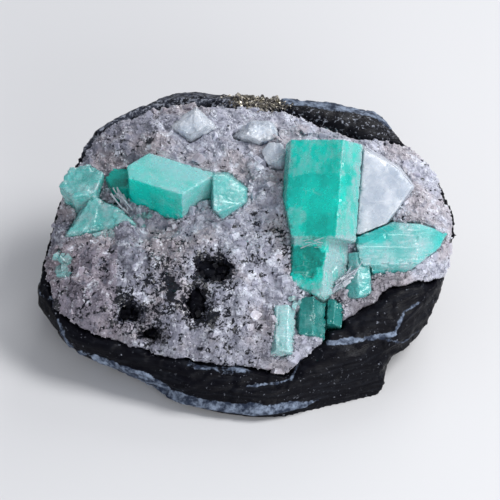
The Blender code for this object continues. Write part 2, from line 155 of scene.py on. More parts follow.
class Finish:
    """One stone's material. Each call adds to its nodes."""

    def __init__(self, name, roughness=0.5, **constants):
        self.material = bpy.data.materials.new(name)
        self.material.use_nodes = True
        self.tree = self.material.node_tree
        self.shader = self.tree.nodes["Principled BSDF"]
        self.shader.inputs["Roughness"].default_value = roughness
        for words, value in constants.items():
            socket = words.replace("_", " ").title().replace("Ior", "IOR")
            self.shader.inputs[socket].default_value = value
        coordinates = self.add("ShaderNodeTexCoord", {}, {})
        self.place = Wire(self, coordinates.outputs["Object"])

    def add(self, kind, settings, sockets):
        """A new node, with its settings and then its sockets given values or links."""
        node = self.tree.nodes.new(kind)
        for name, value in settings.items():
            setattr(node, name, value)
        for name, value in sockets.items():
            self.feed(node.inputs[name], value)
        return node

    def feed(self, socket, value):
        """Links a value to a socket, or sets it there if it is a plain number or colour."""
        if isinstance(value, Wire):
            self.tree.links.new(value.socket, socket)
        elif socket.type == "RGBA":
            socket.default_value = (*value, 1)
        else:
            socket.default_value = value

    def set(self, socket, value):
        """Feeds one of the shader's own sockets."""
        self.feed(self.shader.inputs[socket], value)

    def along(self, direction):
        """Distance in millimetres from the middle of the rock in a direction."""
        shifted = self.add(
            "ShaderNodeVectorMath", {"operation": "SUBTRACT"}, {0: self.place, 1: MIDDLE})
        dot = self.add(
            "ShaderNodeVectorMath", {"operation": "DOT_PRODUCT"},
            {0: Wire(self, shifted.outputs["Vector"]), 1: direction})
        return Wire(self, dot.outputs["Value"]) * (1 / MM)

    def stretched(self, direction, factor):
        """The place, stretched by a factor along a direction, for patterns of lines and layers."""
        along = self.along(direction) * ((factor - 1) * MM)
        shift = self.add(
            "ShaderNodeVectorMath", {"operation": "SCALE"}, {0: direction, "Scale": along})
        total = self.add(
            "ShaderNodeVectorMath", {"operation": "ADD"},
            {0: self.place, 1: Wire(self, shift.outputs["Vector"])})
        return Wire(self, total.outputs["Vector"])

    def cloud(self, size, detail=3.0, rough=0.5, place=None):
        """Soft noise with lumps of a size in millimetres, about 0.5."""
        node = self.add(
            "ShaderNodeTexNoise", {},
            {"Vector": place or self.place, "Scale": 1 / (size * MM), "Detail": detail,
             "Roughness": rough})
        return Wire(self, node.outputs[0])

    def cells(self, size, output="Distance", feature="F1", place=None):
        """Grains of a size in millimetres."""
        node = self.add(
            "ShaderNodeTexVoronoi", {"feature": feature},
            {"Vector": place or self.place, "Scale": 1 / (size * MM)})
        return Wire(self, node.outputs[output])

    def attribute(self, name):
        """What the piece's own mesh holds under a name."""
        node = self.add("ShaderNodeAttribute", {"attribute_name": name}, {})
        return Wire(self, node.outputs["Fac"])

    def mix(self, colour, other, share):
        """A colour turned by a share from 0 to 1 into another."""
        node = self.add("ShaderNodeMix", {"data_type": "RGBA"}, {0: share, 6: colour, 7: other})
        return Wire(self, node.outputs[2])

    def relief(self, height, depth, below=None):
        """Fine relief of a depth in millimetres, on top of the relief below it."""
        sockets = {"Height": height, "Distance": depth * MM, "Strength": 1.0}
        if below:
            sockets["Normal"] = below
        return Wire(self, self.add("ShaderNodeBump", {}, sockets).outputs["Normal"])

    def absorb(self, colour, density):
        """Tints light by the length of its path through the stone."""
        volume = self.add("ShaderNodeVolumeAbsorption", {}, {"Color": colour, "Density": density})
        self.tree.links.new(volume.outputs[0], self.tree.nodes["Material Output"].inputs["Volume"])


def crust_finish():
    """Sugary calcite, lavender grey with white wisps, brownish patches and specks of shale, with
    painted shade on its left, along its bottom and at the crease on the lower left.
    """
    finish = Finish("sugary_calcite", subsurface_weight=0.55, subsurface_scale=0.0014,
                    specular_ior_level=0.45)
    finish.shader.inputs["Subsurface Radius"].default_value = (1.0, 0.93, 0.95)
    tint = finish.attribute("tint")
    dirt = finish.attribute("dirt")
    patch = finish.cloud(9.0, 4.0)
    wisp = finish.cloud(2.4, 6.0, 0.7)
    across = finish.along(ACROSS)
    up = finish.along(UP_THE_FACE)
    # painted shade: the crust is darker toward the left, away from the light
    left = across.rise(16, -34)
    colour = finish.mix((0.32, 0.325, 0.395), (0.55, 0.56, 0.66), tint)
    colour = finish.mix(colour, (0.17, 0.17, 0.22), left * 0.8)
    colour = finish.mix(colour, (0.40, 0.335, 0.335), patch.rise(0.48, 0.62) * 0.5)
    # painted shade: past the crease at the lower left the crust turns a darker pinkish grey, in
    # place of the fold
    corner = across.rise(-25.9, -26.6) * up.rise(3.0, -1.0)
    colour = finish.mix(colour, (0.25, 0.20, 0.235), corner * 0.55)
    colour = finish.mix(colour, (0.15, 0.16, 0.21), wisp.rise(0.47, 0.34) * 0.7)
    colour = finish.mix(colour, (0.76, 0.80, 0.90), wisp.rise(0.53, 0.62) * 0.6)
    smoky = across.rise(17.0, 21.0) * across.rise(33.0, 28.0) * up.rise(-2.5, -5.0)
    colour = finish.mix(colour, (0.20, 0.175, 0.195), smoky * 0.75)
    # painted shade: the crust is darker toward the bottom
    low = up.rise(-7.0, -19.0)
    colour = finish.mix(colour, (0.20, 0.20, 0.25), low * 0.35)
    specks = finish.cloud(0.85, 6.0, 0.75) + dirt * 0.24
    colour = finish.mix(colour, (0.004, 0.005, 0.010), specks.rise(0.650, 0.70))
    finish.set("Base Color", colour)
    finish.set("Roughness", finish.cells(0.7, "Color").rise(0.2, 0.9) * 0.35 + 0.22)
    fine = finish.relief(finish.cloud(0.5, 5.0), 0.05)
    finish.set("Normal", finish.relief(finish.cells(0.36), 0.05, fine))
    return finish.material


def shale_finish():
    """Black shale with fine beds, a satin break and white calcite veins, the veins painted dark
    bluish grey as shade.
    """
    finish = Finish("black_shale", specular_ior_level=0.08)
    up = finish.along(UP_THE_FACE)
    beds = finish.cloud(5.0, 5.0, 0.6, finish.stretched(UPRIGHT, 9.0))
    smudge = finish.cloud(6.0, 4.0)
    stone = finish.mix((0.002, 0.002, 0.004), (0.008, 0.009, 0.013), beds.rise(0.42, 0.75))
    stone = finish.mix(stone, (0.020, 0.021, 0.027), smudge.rise(0.62, 0.8) * 0.4)
    rim = up.rise(8.0, 20.0) * finish.along(ACROSS).rise(6.0, -4.0)
    dusty = rim * finish.cloud(2.0, 5.0, 0.65).rise(0.42, 0.58) * 0.8
    stone = finish.mix(stone, (0.040, 0.045, 0.065), dusty)
    frost = finish.cloud(0.8, 6.0, 0.75) + up.rise(14.0, 26.0) * 0.06 + rim * 0.06
    frost = frost.rise(0.62, 0.68) * finish.along(TOWARD).rise(-16.0, -9.0)
    stone = finish.mix(stone, (0.30, 0.32, 0.38), frost * 0.8)
    frayed = finish.attribute("vein") + (finish.cloud(0.8, 5.0, 0.65) - 0.5) * 1.1
    vein = frayed.rise(-0.08, 0.14)
    # the veins: bluish, dirty calcite, painted darker still as the shade they lie in
    shaded_vein_colour = finish.mix(
        (0.020, 0.028, 0.050), (0.22, 0.27, 0.36), finish.cloud(1.8, 5.0, 0.65).rise(0.38, 0.66))
    finish.set("Base Color", finish.mix(stone, shaded_vein_colour, vein))
    finish.set("Roughness", finish.cloud(2.2, 4.0).rise(0.3, 0.7) * 0.25 + 0.26 + vein * 0.1)
    grain = finish.relief(finish.cloud(0.45, 6.0, 0.65), 0.05)
    layers = finish.cloud(1.8, 5.0, 0.6, finish.stretched(UPRIGHT, 8.0))
    finish.set("Normal", finish.relief(layers, 0.10, grain))
    return finish.material


def emerald_finish(name, deep, pale, axis, cloudiness, paleness=None, density=60.0, stripes=0.15):
    """Translucent green beryl: cloudy inside, with colour in zones and lines along its faces.

    paleness adds to the share of the pale colour, as a function of the finish and its mottle.
    """
    finish = Finish(name, ior=1.578, transmission_weight=1 - cloudiness, subsurface_weight=0.45,
                    subsurface_scale=0.0035, specular_ior_level=0.42)
    finish.shader.inputs["Subsurface Radius"].default_value = (0.4, 1.0, 0.9)
    mottle = finish.cloud(2.8, 5.0, 0.62)
    lines = finish.cloud(2.0, 4.0, 0.6, finish.stretched(axis, 0.12))
    across = finish.cloud(2.2, 5.0, 0.6, finish.stretched(axis, 7.0))
    share = mottle.rise(0.46, 0.70) * 0.35 + lines.rise(0.50, 0.75) * 0.18
    share = share + finish.attribute("pale")
    if paleness:
        share = share + paleness(finish, mottle)
    colour = finish.mix(deep, pale, share.held())
    # shadow: darker patches at random, and painted shade where the share falls below zero, in the
    # stout prism's recess and at the tall prism's foot
    shadow = finish.cloud(4.5, 3.0).rise(0.56, 0.36) * 0.35
    shadow = (shadow + share.rise(-0.1, -0.6) * 0.8).held()
    shadow_colour = tuple(channel * 0.4 for channel in deep)
    colour = finish.mix(colour, shadow_colour, shadow * (1 - share.held()))
    cracks = finish.cells(2.4, "Distance", "DISTANCE_TO_EDGE", finish.stretched(axis, 2.2))
    veil = cracks.rise(0.03, 0.0) * finish.cloud(5.0, 2.0).rise(0.56, 0.68) * 0.45
    veil = veil + across.rise(0.52, 0.62) * share.held() * stripes
    finish.set("Base Color", finish.mix(colour, (0.72, 0.88, 0.90), veil.held()))
    finish.set("Roughness", finish.cloud(1.0, 4.0, 0.6).rise(0.36, 0.74) * 0.20 + 0.17)
    fine = finish.relief(finish.cloud(0.5, 3.0, 0.5, finish.stretched(axis, 0.08)), 0.010)
    finish.set("Normal", finish.relief(finish.cloud(0.9, 3.0, 0.5), 0.010, fine))
    finish.absorb(tuple(min(1.0, channel + 0.25) for channel in deep), density)
    return finish.material


def tall_paleness(finish, mottle):
    """The tall prism is deepest in a zone with a sharp top, and pale on its right and foot; its
    right is paler partly as painted light, and painted shade darkens its foot on the left.
    """
    wander = finish.cloud(1.8, 5.0, 0.65) - 0.5
    up = finish.along(UP_THE_FACE) + wander * 3.0
    across = finish.along(ACROSS) + (finish.cloud(2.6, 5.0, 0.65) - 0.5) * 7.0
    streaks = finish.cloud(1.2, 4.0, 0.6, finish.stretched(UP_THE_FACE, 0.18))
    dip = across.rise(9.8, 7.0) * 1.9
    mottled = mottle.rise(0.56, 0.44) * 0.42 + streaks.rise(0.46, 0.58) * 0.22
    above = (up + dip).rise(15.2, 15.6) * mottled
    left = up.rise(15.0, 16.5) * across.rise(9.6, 8.2) * 0.25
    # paler on the right: streaky colour, and painted light from the right
    right = (across - up * 0.33).rise(14.9, 15.7) * (streaks.rise(0.40, 0.60) * 0.45 + 0.30)
    low_left = up.rise(9.0, 8.2) * across.rise(10.8, 10.0) * 0.4
    ledge = up.rise(3.6, 2.6) * up.rise(0.9, 1.5) * 0.55
    foot_side = up.rise(1.8, 0.8) * across.rise(13.6, 15.4) * (streaks.rise(0.42, 0.62) * 0.5 + 0.2)
    foot = up.rise(-4.6, -7.4) * 0.5
    # painted shade: darker at the foot on the left, where the prism meets the crust
    foot_shade = up.rise(1.6, 0.4) * up.rise(-6.6, -3.0) * across.rise(15.4, 12.0) * 0.9
    return above + left + right + low_left + ledge + foot_side + foot - foot_shade - 0.25


def stout_paleness(finish, mottle):
    """The stout prism is darkest in the recess on its left, which is painted shade, paler on its
    top as a painted sheen, and chipped pale on its lower edge.
    """
    across = finish.along(ACROSS)
    up = finish.along(UP_THE_FACE) + (finish.cloud(1.6, 4.0, 0.6) - 0.5) * 7.0
    # painted shade: the recess on the left is deep green and darkened
    recess = across.rise(-24.0, -25.0) * 1.9
    streaks = finish.cloud(3.0, 4.0, 0.6, finish.stretched(face_axis(0.93, -0.37, 0), 0.2))
    # milky streaks, and paler toward the top as a painted sheen
    milky = up.rise(13.0, 16.5) * 0.4 + streaks.rise(0.42, 0.62) * 0.35
    milky = milky * across.rise(-23.0, -14.0) - 0.12
    chipped = up.rise(7.8, 6.4) * finish.cloud(1.0, 4.0, 0.6).rise(0.47, 0.58) * 0.8
    return milky + chipped - recess


def striped_paleness(finish, mottle):
    """The striated block is greener on its upper left, lower edge and right end."""
    across = finish.along(ACROSS) + (mottle - 0.5) * 6.0
    up = finish.along(UP_THE_FACE)
    facet = up.rise(0.9, 2.6) * across.rise(29.0, 26.0) * 0.7
    end = across.rise(34.5, 38.0) * 0.5
    lower = up.rise(-3.2, -4.4) * 0.5
    return mottle * 0.8 + 0.12 - facet - end - lower


def calcite_finish():
    """Cloudy bluish white calcite with pearly cleavage faces."""
    finish = Finish("cloudy_calcite", ior=1.6, transmission_weight=0.22, subsurface_weight=0.5,
                    subsurface_scale=0.004)
    finish.shader.inputs["Subsurface Radius"].default_value = (0.9, 0.95, 1.0)
    cloud = finish.cloud(4.0, 5.0, 0.6)
    colour = finish.mix((0.48, 0.54, 0.63), (0.72, 0.76, 0.83), cloud.rise(0.35, 0.68))
    veil = finish.cells(3.4, "Distance", "DISTANCE_TO_EDGE").rise(0.015, 0.0) * 0.25
    finish.set("Base Color", finish.mix(colour, (0.95, 0.96, 0.98), veil))
    finish.set("Roughness", finish.cloud(1.4, 5.0).rise(0.35, 0.7) * 0.25 + 0.16)
    finish.set("Normal", finish.relief(finish.cloud(0.7, 5.0, 0.7), 0.02))
    return finish.material


def pyrite_finish():
    """Dull brassy crystals, darker where they are tarnished."""
    finish = Finish("pyrite", metallic=0.9)
    dull = finish.cloud(0.9, 4.0).rise(0.36, 0.62)
    finish.set("Base Color", finish.mix((0.36, 0.33, 0.27), (0.13, 0.12, 0.115), dull))
    finish.set("Roughness", finish.cloud(0.5, 4.0).rise(0.3, 0.7) * 0.25 + 0.25)
    finish.set("Normal", finish.relief(finish.cloud(0.25, 4.0), 0.01))
    return finish.material


# ---------------------------------------------------------------- meshes


def copy_of(node):
    """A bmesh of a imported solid, with the corners of its loose triangles joined."""
    bm = bmesh.new()
    bm.from_mesh(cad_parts[node].data)
    bmesh.ops.remove_doubles(bm, verts=bm.verts[:], dist=MERGE)
    return bm


def piece_from(bm, name, finish, slot, *replaced):
    """Links a bmesh as a finished piece of the rock."""
    for vert in bm.verts:
        for axis in range(3):
            vert.co[axis] = min(cad_high[axis], max(cad_low[axis], vert.co[axis]))
    mesh = bpy.data.meshes.new(name)
    bm.to_mesh(mesh)
    bm.free()
    mesh.materials.append(finish)
    piece = bpy.data.objects.new(name, mesh)
    bpy.context.scene.collection.objects.link(piece)
    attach(piece, "root")
    if replaced:
        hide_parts(*replaced)
    return piece


def remeshed(bm, voxel):
    """An even mesh of small faces over the same form."""
    mesh = bpy.data.meshes.new("rough")
    bm.to_mesh(mesh)
    bm.free()
    rough = bpy.data.objects.new("rough", mesh)
    bpy.context.scene.collection.objects.link(rough)
    modifier = rough.modifiers.new("even", "REMESH")
    modifier.mode = "VOXEL"
    modifier.voxel_size = voxel * MM
    graph = bpy.context.evaluated_depsgraph_get()
    even = bpy.data.meshes.new_from_object(rough.evaluated_get(graph))
    bpy.data.objects.remove(rough)
    bm = bmesh.new()
    bm.from_mesh(even)
    return bm


def shade_smooth(bm):
    for face in bm.faces:
        face.smooth = True


def facets(point, size):
    """Tilted facets about size across, like broken grains, from -1 to 1."""
    _distances, corners = noise.voronoi(point / size)
    tilt = noise.cell_vector(corners[0] * 7.3) - Vector((0.5, 0.5, 0.5))
    return 1.4 * tilt.dot(point / size - corners[0]) + 0.5 * noise.cell(corners[0] * 3.1)


def tree_of(*nodes):
    """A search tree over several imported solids."""
    bm = bmesh.new()
    for node in nodes:
        bm.from_mesh(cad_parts[node].data)
    tree = BVHTree.FromBMesh(bm)
    bm.free()
    return tree


# ---------------------------------------------------------------- the shale

SHALE_VOXEL = 0.47
# Windows where bare shale shows through the crust, as (across, up, width, height).
SHALE_WINDOWS = [
    (-7.4, -3.8, 8.6, 5.2), (-10.6, -10.2, 4.4, 8.0), (-24.0, -12.2, 4.6, 4.4),
    (-19.6, -16.0, 3.8, 3.0), (-15.6, -6.7, 2.8, 5.6), (-7.4, -13.3, 2.6, 2.6),
]
CHIP_COUNT = 110
CHIP_SIZES = (0.8, 2.2)
# White veins level with the beds, as (height, half its width, frays by, from and to angle in plan).
BED_VEINS = [
    (2.1, 1.15, 0.6, (-175, -62)), (8.9, 0.28, 0.5, (-118, -70)), (6.4, 0.30, 0.6, (20, 150)),
    (13.5, 0.35, 0.7, (95, 200)),
]
# White veins that climb over the face, as (half its width, places across and up).
FACE_VEINS = [
    (0.50, [(15.6, -18.0), (20.0, -17.4), (24.0, -17.2), (28.6, -16.4)]),
    (0.26, [(28.6, -16.4), (30.4, -12.0), (34.0, -9.9)]),
    (0.14, [(24.0, -17.2), (30.0, -18.2), (34.0, -15.4)]),
    (0.20, [(-1.0, -26.3), (8.0, -25.2), (9.6, -22.0), (11.0, -19.7)]),
    (0.30, [(-38.0, -13.5), (-35.0, -19.6), (-31.0, -21.1)]),
    (0.75, [(-31.0, -21.1), (-25.0, -22.7), (-20.0, -25.3), (-14.0, -28.7)]),
    (0.70, [(5.6, 30.6), (14.0, 29.8), (22.0, 28.6), (28.6, 25.6)]),
]


def distance_to_line(across, up, places):
    """Distance in the plane of the face from a place to a line of places."""
    nearest = 1e9
    here = Vector((across, up))
    for start, end in zip(places, places[1:]):
        start = Vector(start)
        side = Vector(end) - start
        share = min(1.0, max(0.0, (here - start).dot(side) / side.length_squared))
        nearest = min(nearest, (start + side * share - here).length)
    return nearest


def vein_at(point):
    """How far inside a white vein a point of the shale lies, in millimetres, below 0 outside."""
    spot = point / MM
    face = to_face(point)
    wander = noise.noise(spot / 7.0) + 0.5 * noise.noise(spot / 2.6)
    plan = math.degrees(math.atan2(spot.y, spot.x))
    inside = -2.0
    for height, half, fray, (start, end) in BED_VEINS:
        past, left = (plan - start) % 360, (end - plan) % 360
        fade = smooth(min(past, left) / 14) if past < (end - start) % 360 else 0.0
        width = half * (1 + 0.5 * noise.noise(spot / 5.0)) * fade
        away = abs(spot.z - height - fray * wander)
        inside = max(inside, width - away - (0.4 if fade < 0.05 else 0))
    if face.z > -30 and spot.y < 24 or face.y > 22:
        for half, places in FACE_VEINS:
            width = half * (1 + 0.7 * noise.noise(spot / 3.0))
            away = distance_to_line(face.x + 0.4 * wander, face.y + 0.5 * wander, places)
            inside = max(inside, width - away)
    return inside


def roughen_shale(vert):
    """Thin beds stepped in the walls, small broken facets and veins that stand a little proud."""
    spot = vert.co / MM
    warp = 0.8 * noise.noise(spot / 8)
    bed = 0.5 * noise.cell(Vector((0.5, 0.5, (spot.z + warp) / 1.3)))
    lamina = noise.noise(Vector((spot.x / 9, spot.y / 9, spot.z / 0.9)))
    upright = 1 - abs(vert.normal.z)
    shift = upright * (0.50 * bed + 0.30 * lamina) + 0.34 * facets(spot, 4.6)
    shift += 0.12 * facets(spot, 1.6)
    shift += 0.12 * smooth(vein_at(vert.co) * 4)
    vert.co += vert.normal * (shift * MM * smooth(spot.z / 0.7))


def dress_shale():
    """The body of the shale, and the broken chips of it that show through the crust."""
    finish = shale_finish()
    bm = remeshed(copy_of("shale_matrix"), SHALE_VOXEL)
    vein = bm.verts.layers.float.new("vein")
    bm.normal_update()
    for vert in bm.verts:
        vert[vein] = vein_at(vert.co)
        roughen_shale(vert)
    shade_smooth(bm)
    bm.normal_update()
    spots = []
    for face in bm.faces:
        middle = face.calc_center_median()
        if face.normal.dot(TOWARD) > 0.5 and in_window(middle, 0.50):
            spots.append((middle, TOWARD, face.calc_area()))
    piece_from(bm, "black_shale", finish, "shale", "shale_matrix")
    scatter("shale_chips", finish, "shale", spots, CHIP_COUNT, CHIP_SIZES, 0.6, 4, {"vein": -2.0})


def in_window(point, reach):
    """Whether a point lies where bare shale shows through the crust."""
    face = to_face(point) + 1.3 * noise.noise_vector(point / (2.8 * MM))
    return any(out_from(face, *window) < reach for window in SHALE_WINDOWS)


# ---------------------------------------------------------------- the crust

CRUST_VOXEL = 0.34
GRAIN_SHAPES = 9
SQUASH = 0.11                    # turns a cube into a rhomb of calcite
# Scattered grains, as (piece, how many, smallest and largest size, lift, how near a crystal, seed).
GRAINS = [
    ("calcite_grains", 8500, (0.25, 0.60), -0.10, None, 5),
    ("calcite_grains_between", 8500, (0.25, 0.60), -0.10, None, 6),
    ("calcite_grains_broken", 5500, (0.40, 1.00), -0.20, None, 7),
    ("calcite_rhombs", 560, (1.0, 2.3), -0.60, None, 8),
    ("calcite_grains_on_emeralds", 8500, (0.30, 0.75), 0.80, 0.9, 9),
    ("calcite_rhombs_on_emeralds", 1100, (0.5, 1.25), 1.15, 0.6, 10),
]
# Places where specks of shale lie in the calcite, as (across, up, radius, how many from 0 to 1).
DARK_PLACES = [
    (-7.4, -3.8, 6.5, 0.80), (-10.6, -10.2, 6.5, 0.85), (-24.0, -12.2, 6.5, 0.75),
    (-19.6, -16.0, 6.0, 0.70), (-16.5, -7.0, 11.5, 0.58), (-4.0, -17.0, 9.0, 0.34),
    (4.0, 2.0, 8.0, 0.42), (-33.0, -6.0, 10.0, 0.32), (-24.0, 22.0, 8.0, 0.22),
]


def dirt_at(point):
    """How thick the specks of shale lie at a point, and 2 where nothing but shale shows."""
    ragged = 0.12 * noise.noise(point / (0.8 * MM)) + 0.30 * noise.noise(point / (2.2 * MM))
    if in_window(point, 0.48 + ragged):
        return 2.0
    face = to_face(point)
    most = 0.05
    for across, up, radius, amount in DARK_PLACES:
        away = math.hypot(face.x - across, face.y - up) / radius
        most = max(most, amount * smooth(1.3 - away))
    return most


def speckled(point, chance):
    """The dirt of one grain: now and then a chip of shale, most often in clusters."""
    dirt = dirt_at(point)
    lumps = noise.noise(point / (1.9 * MM)) + 0.6 * noise.noise(point / (5.0 * MM))
    cluster = 0.06 + 2.4 * smooth(lumps * 2.2 + 0.15)
    return 1.1 if chance < dirt * cluster * 0.45 else dirt


def domes(point, size):
    """Rounded lumps about size across, from 0 in the creases to 1."""
    return 1 - min(1.0, noise.voronoi(point / size)[0][0] * 1.25)


def roughen_crust(vert, crystals):
    """Lumps of several sizes, pressed up against the crystals."""
    spot = vert.co / MM
    warp = spot + 1.0 * noise.noise_vector(spot / 3.0)
    shift = 0.75 * domes(warp, 6.0) + 0.50 * domes(warp, 2.9) + 0.24 * domes(warp, 1.3) - 0.62
    shift += 0.22 * facets(spot, 2.2) + 0.12 * facets(spot, 0.8)
    _place, _normal, _index, away = crystals.find_nearest(vert.co, 1.4 * MM)
    if away is not None:
        shift = max(shift, 0.05) + 0.55 * smooth(1.3 - away / MM)
    vert.co += vert.normal * (shift * MM)


def dress_crust():
    """The body of the crust, and the grains and rhombs that cover it. Returns its open places."""
    finish = crust_finish()
    bm = remeshed(copy_of("calcite_crust"), CRUST_VOXEL)
    tint = bm.verts.layers.float.new("tint")
    dirt = bm.verts.layers.float.new("dirt")
    bm.normal_update()
    for vert in bm.verts:
        _distances, corners = noise.voronoi(vert.co / (0.7 * MM))
        vert[tint] = 0.5 + 0.25 * noise.cell(corners[0] * 5.7)
        vert[dirt] = speckled(vert.co, 0.5 + 0.5 * noise.cell(corners[0] * 9.1))
    crystals = tree_of(
        *[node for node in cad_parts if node.startswith("emerald") or "rhomb" in node])
    for vert in bm.verts:
        roughen_crust(vert, crystals)
    shade_smooth(bm)
    bm.normal_update()
    spots = [spot for spot in open_spots(bm) if not in_window(spot[0], 0.34)]
    piece_from(bm, "calcite_crust_body", finish, "crust", "calcite_crust")
    for name, count, sizes, lift, near, seed in GRAINS:
        chosen = contacts(spots, crystals, near) if near else spots
        scatter(name, finish, "crust", chosen, count, sizes, lift, seed)
    return spots


def contacts(spots, crystals, near):
    """The spots within so many millimetres of a crystal, moved part of the way to it."""
    return [(middle.lerp(crystals.find_nearest(middle)[0], 0.4), TOWARD, area)
            for middle, _normal, area in spots if crystals.find_nearest(middle, near * MM)[0]]


def open_spots(bm):
    """The crust's faces that look out into the air, as (middle, normal, area)."""
    others = [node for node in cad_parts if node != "calcite_crust"]
    covered = tree_of(*others)
    spots = []
    for face in bm.faces:
        middle = face.calc_center_median()
        start = middle + face.normal * (0.05 * MM)
        hit = covered.ray_cast(start, face.normal, 1.6 * MM)[0]
        if hit is None:
            spots.append((middle, face.normal.copy(), face.calc_area()))
    return spots


def grain_shapes(chance):
    """Small calcite shapes of one millimetre: rhombs, some with a corner or an edge broken off."""
    shapes = []
    for index in range(GRAIN_SHAPES):
        bm = bmesh.new()
        bmesh.ops.create_cube(bm, size=1)
        squash = Matrix([[(row == column) - SQUASH for column in range(3)] for row in range(3)])
        stretch = Matrix.Diagonal([chance.uniform(0.6, 1.25) for _axis in range(3)])
        bmesh.ops.transform(bm, matrix=(squash @ stretch).to_4x4(), verts=bm.verts[:])
        for _break in range(index % 3):
            normal = any_direction(chance).normalized()
            cut = bmesh.ops.bisect_plane(
                bm, geom=bm.verts[:] + bm.edges[:] + bm.faces[:], dist=1e-5,
                plane_co=normal * chance.uniform(0.28, 0.42), plane_no=normal, clear_outer=True)
            edges = [item for item in cut["geom_cut"] if isinstance(item, bmesh.types.BMEdge)]
            bmesh.ops.holes_fill(bm, edges=edges, sides=0)
        bmesh.ops.recalc_face_normals(bm, faces=bm.faces[:])
        for attribute in ("tint", "dirt", "vein", "pale"):
            bm.verts.layers.float.new(attribute)
        mesh = bpy.data.meshes.new("grain")
        bm.to_mesh(mesh)
        bm.free()
        shapes.append(mesh)
    return shapes


def scatter(name, finish, slot, spots, count, sizes, lift, seed, plain=None):
    """Joins many grains, each about half sunk in what it lies on, into one piece.

    plain holds attributes that are the same on every grain; without it, each is tinted by chance.
    """
    chance = random.Random(seed)
    shapes = grain_shapes(chance)
    weights = [area for _middle, _normal, area in spots]
    bm = bmesh.new()
    for middle, normal, _area in chance.choices(spots, weights, k=count):
        size = sizes[0] * (sizes[1] / sizes[0]) ** chance.random()
        turn = any_direction(chance).to_track_quat("Z", "Y").to_matrix().to_4x4()
        spin = Matrix.Rotation(chance.uniform(0, math.tau), 4, "Z")
        height = lift * chance.random() + size * chance.uniform(-0.35, 0.05)
        centre = middle + normal * (height * MM)
        grain = chance.choice(shapes).copy()
        grain.transform(Matrix.Translation(centre) @ turn @ spin @ Matrix.Scale(size * MM, 4))
        patch = smooth(0.5 + 1.5 * noise.noise(centre / (2.4 * MM)))
        values = plain or {
            "tint": 0.1 + 0.35 * chance.random() + 0.5 * patch,
            "dirt": speckled(centre, chance.random()),
        }
        for attribute, value in values.items():
            grain.attributes[attribute].data.foreach_set("value", [value] * len(grain.vertices))
        bm.from_mesh(grain)
        bpy.data.meshes.remove(grain)
    piece_from(bm, name, finish, slot)


# ---------------------------------------------------------------- the crystals

CRYSTAL_VOXEL = 0.17
REACH = 60                       # of the growth steps, either way from the middle of the rock
FLAT = math.radians(1.5)         # faces nearer to level than this are one
SHARP = math.radians(12)         # edges sharper than this are worn and chipped
EDGE_SPACING = 0.3
WORN_WIDTH = 0.9


class Steps:
    """Growth steps at uneven places along a line, each of its own height in millimetres."""

    def __init__(self, spacing, height, chance):
        self.places = [-REACH]
        while self.places[-1] < REACH:
            self.places.append(self.places[-1] + chance.uniform(0.3, 1.8) * spacing)
        self.heights = [chance.uniform(-height, height) for _place in range(len(self.places) + 1)]

    def at(self, place):
        return self.heights[bisect_left(self.places, place)]


def edge_tree(bm):
    """A search tree of points along the sharp edges of a packed crystal."""
    points = []
    for edge in bm.edges:
        if edge.is_manifold and edge.calc_face_angle(0) > SHARP:
            start, end = [vert.co for vert in edge.verts]
            count = int((end - start).length / (EDGE_SPACING * MM)) + 2
            points += [start.lerp(end, index / (count - 1)) for index in range(count)]
    tree = KDTree(len(points))
    for index, point in enumerate(points):
        tree.insert(point, index)
    tree.balance()
    return tree


def dress_crystal(name, node, finish, slot, axis, across, lengthwise, seed, voxel=CRYSTAL_VOXEL,
                  wave=0.05, chips=0.5, rough=None, painted_lit_sides=(), rim=0.35):
    """A crystal with chipped edges, growth steps and slightly uneven faces.

    across and lengthwise are (spacing, height) of the steps square to its axis and along it. rough
    gives the height of broken facets at a place on the face, the lit sides are (direction, how
    pale) of faces painted paler as painted light, and rim is how wide its edges are pale.
    """
    chance = random.Random(seed)
    axis = axis.normalized()
    packed = copy_of(node)
    bmesh.ops.dissolve_limit(
        packed, angle_limit=FLAT, verts=packed.verts[:], edges=packed.edges[:])
    packed.normal_update()
    edges = edge_tree(packed)
    faces = BVHTree.FromBMesh(packed)
    bands = Steps(*across, chance)
    ribs = Steps(*lengthwise, chance)
    bm = remeshed(packed, voxel)
    pale = bm.verts.layers.float.new("pale")
    bm.normal_update()
    for vert in bm.verts:
        spot = vert.co / MM
        _place, flat, _index, _distance = faces.find_nearest(vert.co)
        beside = axis.cross(flat).normalized()
        upright = beside.length * (1 - abs(axis.dot(flat)))
        bend = 0.25 * noise.noise(spot / 3.0)
        shift = bands.at(spot.dot(axis) + bend) + upright * ribs.at(spot.dot(beside) + 0.3 * bend)
        shift += wave * (noise.noise(spot / 2.7) + 0.5 * noise.noise(spot / 1.1))
        _point, _index, away = edges.find(vert.co)
        worn = smooth(1 - away / (WORN_WIDTH * MM))
        chipped = noise.noise(spot / 1.2) + 0.5 * noise.noise(spot / 0.5) - 0.12
        shift -= chips * worn * max(0.0, chipped)
        if rough:
            amount = rough(to_face(vert.co))
            if amount > 0:
                shift += amount * (facets(spot, 2.6) + 0.5 * facets(spot, 1.0))
        # faces turned toward these sides are painted paler, as painted light
        vert[pale] = sum(amount * smooth((flat.dot(side) - 0.6) * 4) for side, amount in painted_lit_sides)
        vert[pale] += 0.5 * smooth(1 - away / (rim * MM)) * smooth(0.45 + noise.noise(spot / 1.6))
        vert.co += vert.normal * (shift * MM)
    shade_smooth(bm)
    piece_from(bm, name, finish, slot, node)


DEEP = (0.0, 0.80, 0.67)
SHADED = (0.02, 0.27, 0.25)
MIDDLING = (0.06, 0.66, 0.62)
MINT = (0.24, 0.58, 0.56)
MILK = (0.42, 0.68, 0.70)
# the stout prism's pale colour: frost on its chips, and painted sheen and painted light on its top
# and right face
FROST_AND_SHEEN = (0.35, 0.80, 0.80)

